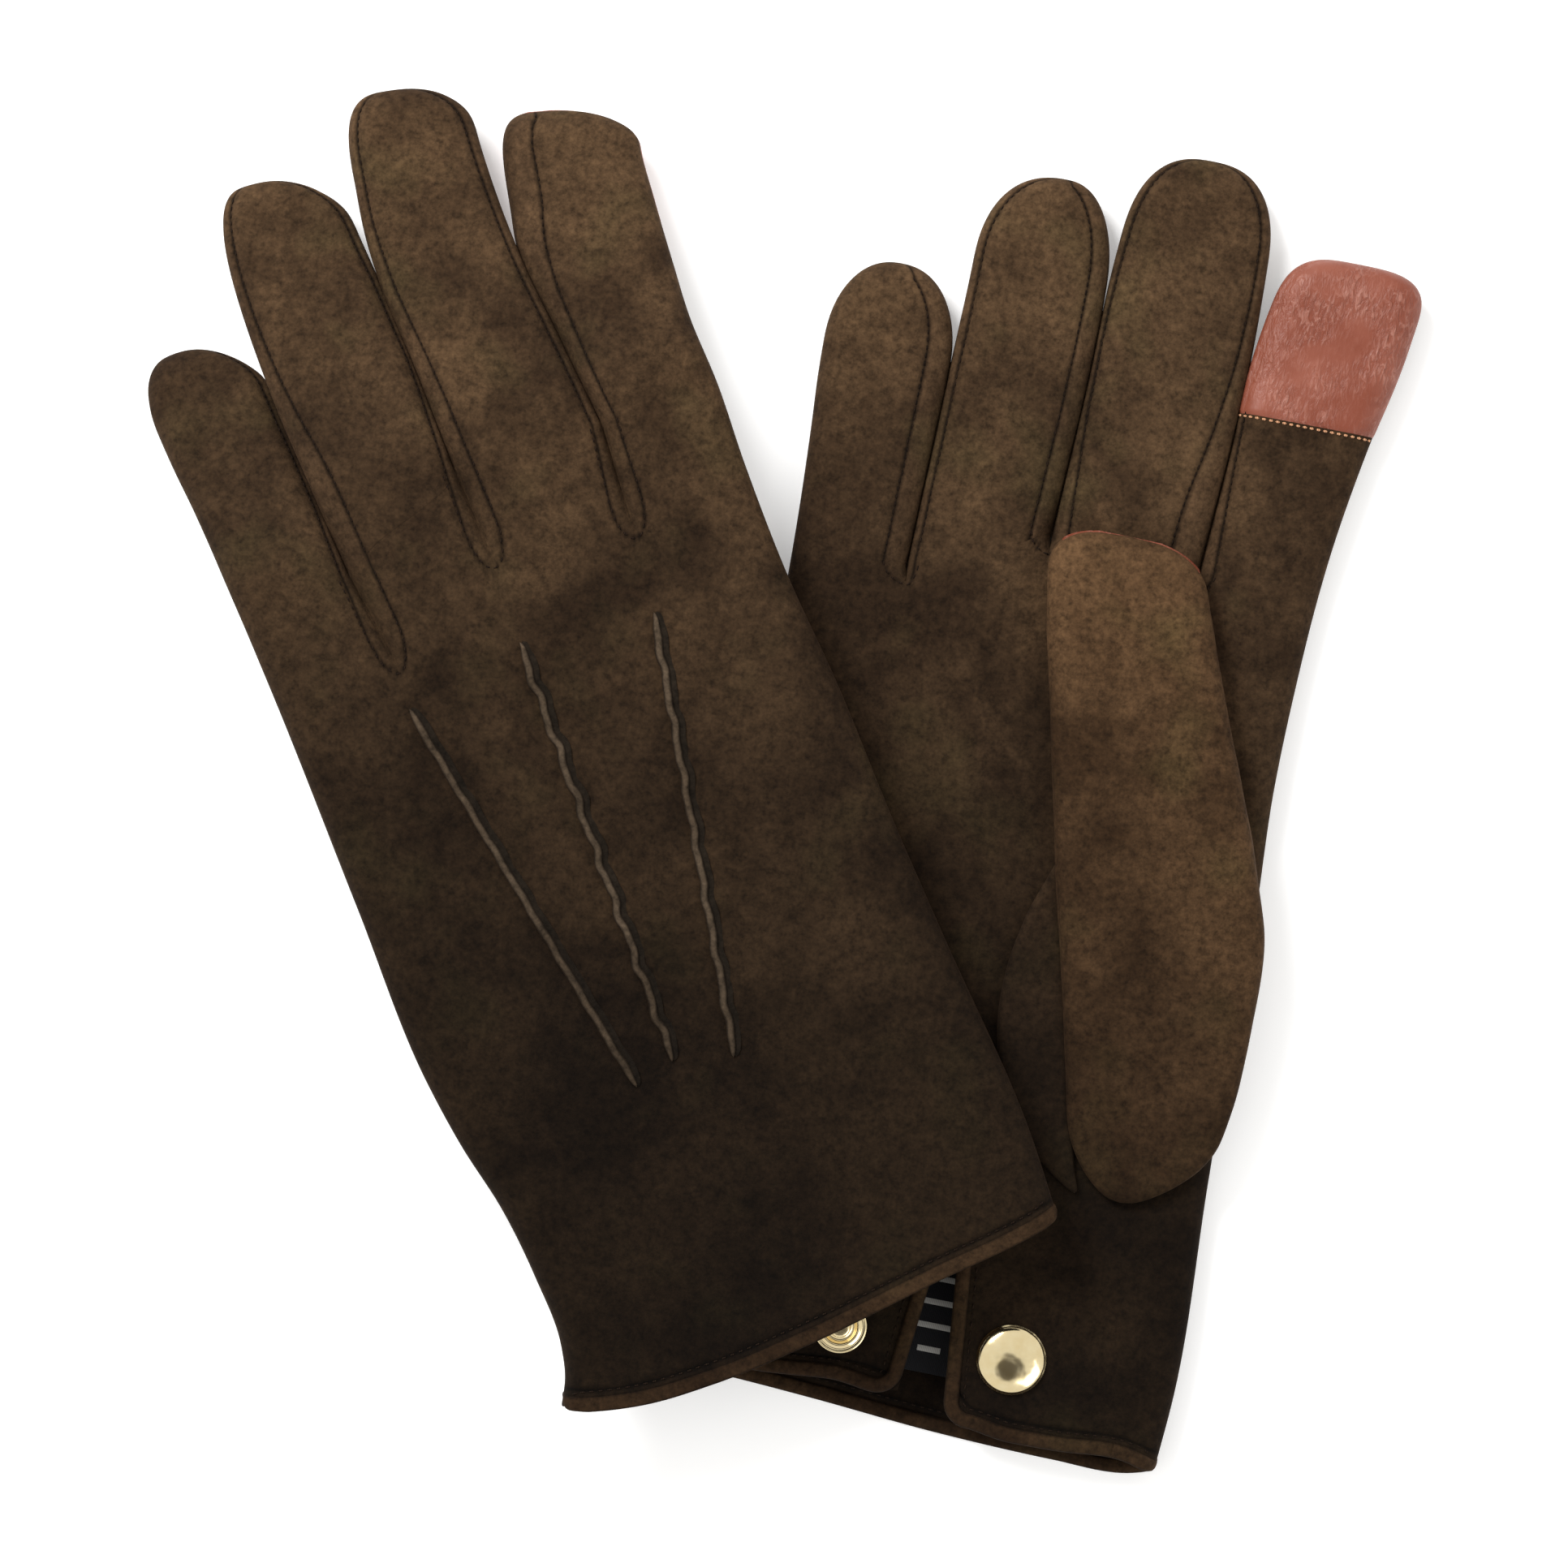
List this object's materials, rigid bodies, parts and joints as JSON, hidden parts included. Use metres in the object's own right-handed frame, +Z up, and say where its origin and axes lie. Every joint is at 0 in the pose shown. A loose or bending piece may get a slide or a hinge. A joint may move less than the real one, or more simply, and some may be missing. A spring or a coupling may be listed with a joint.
{
  "type": "driving gloves",
  "caption": "A pair of snap-cuffed suede driving gloves laid crossed, palm up and palm down, with fingers, thumbs and snap flaps that move.",
  "frame": {"origin": "middle of the right glove's cuff line, on the face that it rests on", "axes": "+Y along the right glove from its cuff to its fingertips, +Z up, +X towards the right glove's index-finger side"},
  "size_m": [0.2259, 0.2515, 0.0243],
  "materials": {
    "suede": "dark brown suede with a soft brushed nap",
    "suede_strip": "the same suede, cut as strips, hems and pinched seams",
    "smooth_leather": "smooth tan leather with fine creases",
    "lining": "black fine knit",
    "woven_label": "black woven ribbon with plain pale bars",
    "gilt_brass": "polished gilt"
  },
  "bodies": {
    "right_hand": {"right_back_panel": "suede", "right_palm_panel": "suede", "right_back_points": "suede_strip", "right_crotch_fourchettes": "suede_strip", "right_hand_lining": "lining", "right_hem_binding": "suede_strip", "right_size_label": "woven_label", "right_snap_stud": "gilt_brass", "right_snap_eyelet": "gilt_brass"},
    "right_cap_flap_body": {"right_cap_flap": "suede", "right_cap_flap_binding": "suede_strip", "right_snap_cap": "gilt_brass", "right_snap_socket": "gilt_brass"},
    "right_thumb": {"right_thumb_leather": "suede", "right_thumb_gusset": "suede_strip", "right_thumb_touch_patch": "smooth_leather", "right_thumb_lining": "lining"},
    "right_pinky": {"right_pinky_stall": "suede", "right_pinky_fourchette": "suede_strip", "right_pinky_lining": "lining"},
    "right_ring": {"right_ring_stall": "suede", "right_ring_fourchettes": "suede_strip", "right_ring_lining": "lining"},
    "right_middle": {"right_middle_stall": "suede", "right_middle_fourchettes": "suede_strip", "right_middle_lining": "lining"},
    "right_index": {"right_index_stall": "suede", "right_index_fourchette": "suede_strip", "right_index_lining": "lining", "right_index_touch_patch": "smooth_leather"},
    "left_hand": {"left_back_panel": "suede", "left_palm_panel": "suede", "left_back_points": "suede_strip", "left_crotch_fourchettes": "suede_strip", "left_hand_lining": "lining", "left_hem_binding": "suede_strip", "left_size_label": "woven_label", "left_snap_stud": "gilt_brass", "left_snap_eyelet": "gilt_brass"},
    "left_cap_flap_body": {"left_cap_flap": "suede", "left_cap_flap_binding": "suede_strip", "left_snap_cap": "gilt_brass", "left_snap_socket": "gilt_brass"},
    "left_thumb": {"left_thumb_leather": "suede", "left_thumb_gusset": "suede_strip", "left_thumb_touch_patch": "smooth_leather", "left_thumb_lining": "lining"},
    "left_pinky": {"left_pinky_stall": "suede", "left_pinky_fourchette": "suede_strip", "left_pinky_lining": "lining"},
    "left_ring": {"left_ring_stall": "suede", "left_ring_fourchettes": "suede_strip", "left_ring_lining": "lining"},
    "left_middle": {"left_middle_stall": "suede", "left_middle_fourchettes": "suede_strip", "left_middle_lining": "lining"},
    "left_index": {"left_index_stall": "suede", "left_index_fourchette": "suede_strip", "left_index_lining": "lining", "left_index_touch_patch": "smooth_leather"}
  },
  "joints": [
    {"name": "left_glove_lift", "type": "slide", "parent": "right_hand", "child": "left_hand", "axis": [0, 0, 1], "range_m": [0, 0.15]},
    {"name": "right_pinky_curl", "type": "hinge", "parent": "right_hand", "child": "right_pinky", "pos_m": [-0.03825, 0.164, 0.009], "axis": [0.9997, 0.0262, 0], "range_deg": [0, 60]},
    {"name": "right_ring_curl", "type": "hinge", "parent": "right_hand", "child": "right_ring", "pos_m": [-0.01415, 0.175, 0.009], "axis": [1, 0.0035, 0], "range_deg": [0, 60]},
    {"name": "right_middle_curl", "type": "hinge", "parent": "right_hand", "child": "right_middle", "pos_m": [0.01135, 0.175, 0.009], "axis": [0.9997, -0.0262, 0], "range_deg": [0, 60]},
    {"name": "right_index_curl", "type": "hinge", "parent": "right_hand", "child": "right_index", "pos_m": [0.037, 0.175, 0.009], "axis": [0.9954, -0.0958, 0], "range_deg": [0, 60]},
    {"name": "right_thumb_swing", "type": "hinge", "parent": "right_hand", "child": "right_thumb", "pos_m": [0.03425, 0.065, 0.009], "axis": [0, 0, 1], "range_deg": [-50, 0]},
    {"name": "right_snap_flap_lift", "type": "hinge", "parent": "right_hand", "child": "right_cap_flap_body", "pos_m": [0.0045, 0.05, 0.009], "axis": [-0.6078, 0.7941, 0], "range_deg": [0, 25]},
    {"name": "left_pinky_curl", "type": "hinge", "parent": "left_hand", "child": "left_pinky", "pos_m": [-0.14152, 0.13492, 0.0144], "axis": [-0.8251, -0.565, 0], "range_deg": [-17.27, 60]},
    {"name": "left_ring_curl", "type": "hinge", "parent": "left_hand", "child": "left_ring", "pos_m": [-0.12726, 0.15725, 0.0144], "axis": [-0.8377, -0.5461, 0], "range_deg": [-13.71, 60]},
    {"name": "left_middle_curl", "type": "hinge", "parent": "left_hand", "child": "left_middle", "pos_m": [-0.10585, 0.1711, 0.0144], "axis": [-0.8536, -0.521, 0], "range_deg": [-12.06, 60]},
    {"name": "left_index_curl", "type": "hinge", "parent": "left_hand", "child": "left_index", "pos_m": [-0.08431, 0.18503, 0.0144], "axis": [-0.8878, -0.4602, 0], "range_deg": [-15.43, 60]},
    {"name": "left_thumb_swing", "type": "hinge", "parent": "left_hand", "child": "left_thumb", "pos_m": [-0.02687, 0.09118, 0.0144], "axis": [0, 0, 1], "range_deg": [-50, 0]},
    {"name": "left_snap_flap_lift", "type": "hinge", "parent": "left_hand", "child": "left_cap_flap_body", "pos_m": [-0.04371, 0.06243, 0.0144], "axis": [0.9416, -0.3366, 0], "range_deg": [0, 10]}
  ]
}
